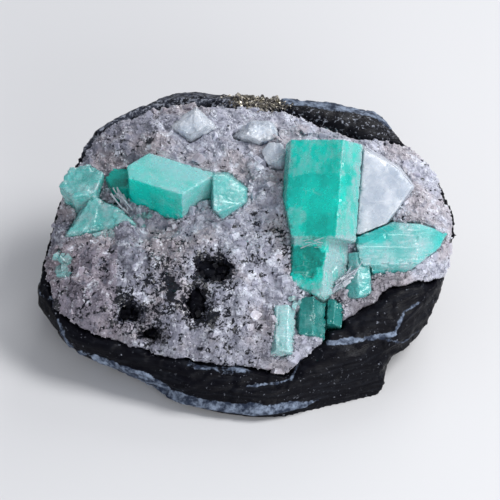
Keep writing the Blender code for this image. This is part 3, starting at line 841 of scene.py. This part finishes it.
# Places where broken bits of emerald lie in the crust, as (across, up, width, height, how many).
BROKEN_EMERALD = [
    (10.2, -9.8, 5.4, 2.6, 46), (-37.2, -2.6, 2.8, 5.6, 56), (-20.8, 6.6, 6.0, 2.4, 26),
    (-30.6, 4.0, 7.0, 2.0, 12),
]
BIT_COUNT = 150
BIT_SIZES = (0.6, 1.9)


def dress_emeralds(spots):
    """The ten green crystals, and broken bits of emerald among the crust's open spots."""
    lean = face_axis(0.075, 0.98, -0.185)
    lying = face_axis(0.03, 0.93, -0.37)
    standing = face_axis(0, 0.629, 0.777)
    up = face_axis(0, 1, 0)
    right = face_axis(0.85, -0.35, 0.40)
    tall = emerald_finish("emerald_tall", DEEP, MILK, lean, 0.58, tall_paleness)
    # painted shade: the small middle and right prisms are drawn in the darker SHADED teal
    deep = emerald_finish("emerald_in_painted_shade", SHADED, MINT, lying, 0.66)
    stout = emerald_finish("emerald_stout", DEEP, FROST_AND_SHEEN, standing, 0.60, stout_paleness)
    pale = emerald_finish("emerald_pale", MIDDLING, MILK, lean, 0.56,
                          lambda finish, mottle: mottle * 0.7, density=35.0, stripes=0.35)
    palest = emerald_finish("emerald_palest", MINT, MILK, lying, 0.72,
                            lambda finish, mottle: mottle + 0.2, density=30.0, stripes=0.5)
    striped = emerald_finish("emerald_striped", MIDDLING, MILK, up, 0.66, striped_paleness,
                             density=35.0, stripes=0.5)
    worn = {"chips": 1.0, "wave": 0.12,
            "rough": lambda face: 0.10 + 0.25 * smooth((-15.5 - face.y) / 3)}
    for name, node, finish, slot, axis, across, lengthwise, seed, extra in (
            ("tall_emerald", "emerald_tall_prism", tall, "emerald", lean,
             (3.0, 0.006), (1.1, 0.022), 1,
             {"rough": lambda face: 0.30 * smooth((0.8 - face.y) / 1.5), "voxel": 0.2,
              # painted light: the right face painted paler, as lit from the right
              "painted_lit_sides": ((face_axis(0.9, 0.0, 0.43), 0.25),)}),
            ("stub_emerald", "emerald_stub_prism", pale, "pale_emerald", lean,
             (1.6, 0.03), (0.8, 0.03), 2,
             {"rough": lambda face: 0.08}),
            ("small_emerald_middle", "emerald_small_prism_middle", deep, "emerald", lying,
             (1.5, 0.03), (0.7, 0.03), 3, worn),
            ("small_emerald_right", "emerald_small_prism_right", deep, "emerald", lying,
             (1.4, 0.03), (0.7, 0.03), 4, worn),
            ("small_emerald_left", "emerald_small_prism_left", palest, "pale_emerald", lying,
             (0.6, 0.05), (1.0, 0.02), 5, worn),
            ("striated_emerald", "emerald_striated_block", striped, "pale_emerald", up,
             (0.7, 0.06), (3.0, 0.01), 6, {"chips": 0.8, "voxel": 0.14}),
            ("stout_emerald", "emerald_stout_prism", stout, "emerald", standing,
             (3.0, 0.006), (1.3, 0.018), 7,
             # painted light: the top face painted paler as a sheen, and the right face paler
             # against the shade the neighbour casts
             {"painted_lit_sides": ((standing, 0.7), (right, 0.75)), "voxel": 0.2,
              "rough": lambda face: 0.3 * smooth((8.4 - face.y) / 2)}),
            ("stout_emerald_neighbour", "emerald_stout_neighbour", pale, "pale_emerald", lean,
             (1.8, 0.03), (0.9, 0.03), 8, {"rough": lambda face: 0.07}),
            ("pale_emerald_mass", "emerald_pale_mass", pale, "pale_emerald",
             face_axis(-0.1, 0.7, 0.68), (0.9, 0.04), (1.1, 0.03), 9,
             {"wave": 0.25, "rough": lambda face: 0.24, "voxel": 0.2, "rim": 1.8, "chips": 1.0}),
            ("faint_emerald", "emerald_small_patch", pale, "pale_emerald", lean,
             (0.9, 0.05), (0.9, 0.03), 10, {"wave": 0.2, "rough": lambda face: 0.3})):
        dress_crystal(name, node, finish, slot, axis, across, lengthwise, seed, **extra)
    near = []
    for *ellipse, count in BROKEN_EMERALD:
        inside = [spot for spot in spots if out_from(to_face(spot[0]), *ellipse) < 0.5]
        near += random.Random(count).choices(inside, k=count)
    scatter("emerald_bits", pale, "pale_emerald", near, BIT_COUNT, BIT_SIZES, 0.5, 12,
            {"pale": 0.35})


# Fans of thin white blades, as (one end, the other end, width, how many), places across and up.
BLADES = [
    ((16.2, -7.6), (21.4, -3.0), 0.65, 34), ((-26.8, 12.4), (-23.6, 7.2), 0.50, 26),
    ((9.6, 1.2), (14.2, 1.8), 0.30, 16), ((-19.8, 19.6), (-7.6, 15.4), 0.16, 30),
]
BLADE_LIFT = 0.25
ABOVE_ALL = 30                   # a height that looks down on every crystal
PYRITE_CUBES = 760
PYRITE_SIZES = (0.14, 0.48)


def dress_calcite():
    """The large rhomb and the three calcite crystals that stand out of the crust."""
    finish = calcite_finish()
    for name, node, axis, seed, extra in (
            ("large_rhomb", "calcite_rhomb_large", face_axis(0.5, 0.85, 0), 11, {"voxel": 0.2}),
            ("rhomb_by_emerald", "calcite_crystal_by_prism", face_axis(-0.35, 0.55, 0.75), 12,
             {"rough": lambda face: 0.25}),
            ("rhomb_upper_left", "calcite_crystal_upper_left", face_axis(0.7, 0.7, 0), 13,
             {"rough": lambda face: 0.35}),
            ("rhomb_upper_middle", "calcite_crystal_upper_middle", face_axis(1, 0.3, 0), 14,
             {"rough": lambda face: 0.35})):
        dress_crystal(name, node, finish, "calcite", axis, (4.0, 0.02), (3.0, 0.02), seed, **extra)


def dress_blades():
    """Fans of thin white blades wedged between the crystals."""
    chance = random.Random(31)
    ground = tree_of(*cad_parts)
    bm = bmesh.new()
    for start, end, width, count in BLADES:
        ends = []
        for across, up in (start, end):
            hit = ground.ray_cast(to_world((across, up, ABOVE_ALL)), -TOWARD)[0]
            ends.append(hit + TOWARD * (BLADE_LIFT * MM))
        along = ends[1] - ends[0]
        for _blade in range(count):
            middle = ends[0].lerp(ends[1], chance.uniform(0.15, 0.85))
            middle += Vector([chance.gauss(0, 0.5) * MM for _axis in range(3)])
            astray = Vector([chance.gauss(0, 0.16) for _axis in range(3)])
            lean = (along.normalized() + astray).normalized()
            length = along.length * chance.uniform(0.2, 0.6)
            wide = width * MM * chance.uniform(0.5, 1.3)
            scale = Matrix.Diagonal((wide, width * MM * 0.3, length, 1))
            turn = lean.to_track_quat("Z", "Y").to_matrix().to_4x4()
            spin = Matrix.Rotation(chance.uniform(0, math.tau), 4, "Z")
            bmesh.ops.create_cone(
                bm, cap_ends=True, segments=5, radius1=0.5, radius2=chance.uniform(0.1, 0.45),
                depth=1, matrix=Matrix.Translation(middle) @ turn @ spin @ scale)
    piece_from(bm, "calcite_blades", calcite_finish(), "calcite")


def dress_pyrite():
    """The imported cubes, and many smaller ones grown over them and on the rim beside them."""
    chance = random.Random(21)
    bm = copy_of("pyrite_cluster")
    rim = tree_of("shale_matrix", "calcite_crust", "pyrite_cluster")
    made = 0
    while made < PYRITE_CUBES:
        across = 1.4 + chance.gauss(0, 2.6)
        up = 30.5 + chance.gauss(0, 0.75) - 0.08 * (across + 3)
        start = to_world((across, up, 12))
        hit, _normal, _index, _distance = rim.ray_cast(start, -TOWARD)
        if hit is None:
            continue
        made += 1
        turn = any_direction(chance).to_track_quat("Z", "Y").to_matrix().to_4x4()
        size = chance.uniform(*PYRITE_SIZES) * MM
        bmesh.ops.create_cube(bm, size=size, matrix=Matrix.Translation(hit) @ turn)
    piece_from(bm, "pyrite_crystals", pyrite_finish(), "pyrite", "pyrite_cluster")


# ---------------------------------------------------------------- the studio

FLOOR_SIZE = 4
FLOOR_GREY = (0.66, 0.66, 0.67)
AIR_COLOUR = (0.86, 0.90, 1.0, 1)
AIR_STRENGTH = 0.38
# Lights, as (name, place, size, watts).
LIGHTS = [
    ("key", (0.40, -0.02, 0.52), 0.30, 3.5),
    ("back", (0.24, 0.60, 0.42), 0.30, 1.6),
    ("fill", (0.20, -0.62, 0.20), 0.36, 2.7),
]
CAMERA_AWAY = 0.9
CAMERA_LIFT = 0.0003
LENS = 324
SENSOR_WIDTH = 36


def studio():
    """A pale floor, three soft lights and pale air."""
    bm = bmesh.new()
    bmesh.ops.create_grid(bm, x_segments=1, y_segments=1, size=FLOOR_SIZE)
    mesh = bpy.data.meshes.new("floor")
    bm.to_mesh(mesh)
    bm.free()
    floor = bpy.data.objects.new("floor", mesh)
    bpy.context.scene.collection.objects.link(floor)
    plain = Finish("floor", 0.8)
    plain.set("Base Color", FLOOR_GREY)
    mesh.materials.append(plain.material)
    world = bpy.data.worlds.new("studio")
    world.use_nodes = True
    background = world.node_tree.nodes["Background"]
    background.inputs["Color"].default_value = AIR_COLOUR
    background.inputs["Strength"].default_value = AIR_STRENGTH
    bpy.context.scene.world = world
    for name, place, size, power in LIGHTS:
        lamp = bpy.data.lights.new(name, "AREA")
        lamp.size = size
        lamp.energy = power
        holder = bpy.data.objects.new(name, lamp)
        holder.location = place
        holder.rotation_euler = (MIDDLE - Vector(place)).to_track_quat("-Z", "Y").to_euler()
        bpy.context.scene.collection.objects.link(holder)


def camera():
    """A long lens that looks down on the rock."""
    lens = bpy.data.cameras.new("camera")
    lens.sensor_width = SENSOR_WIDTH
    lens.lens = LENS
    holder = bpy.data.objects.new("camera", lens)
    holder.location = MIDDLE + TOWARD * CAMERA_AWAY + UP_THE_FACE * CAMERA_LIFT
    holder.rotation_euler = (math.pi / 2 - LOOK_DOWN, 0, 0)
    bpy.context.scene.collection.objects.link(holder)
    bpy.context.scene.camera = holder


dress_shale()
dress_emeralds(dress_crust())
dress_calcite()
dress_blades()
dress_pyrite()
studio()
camera()
bpy.context.scene.view_settings.view_transform = "Standard"
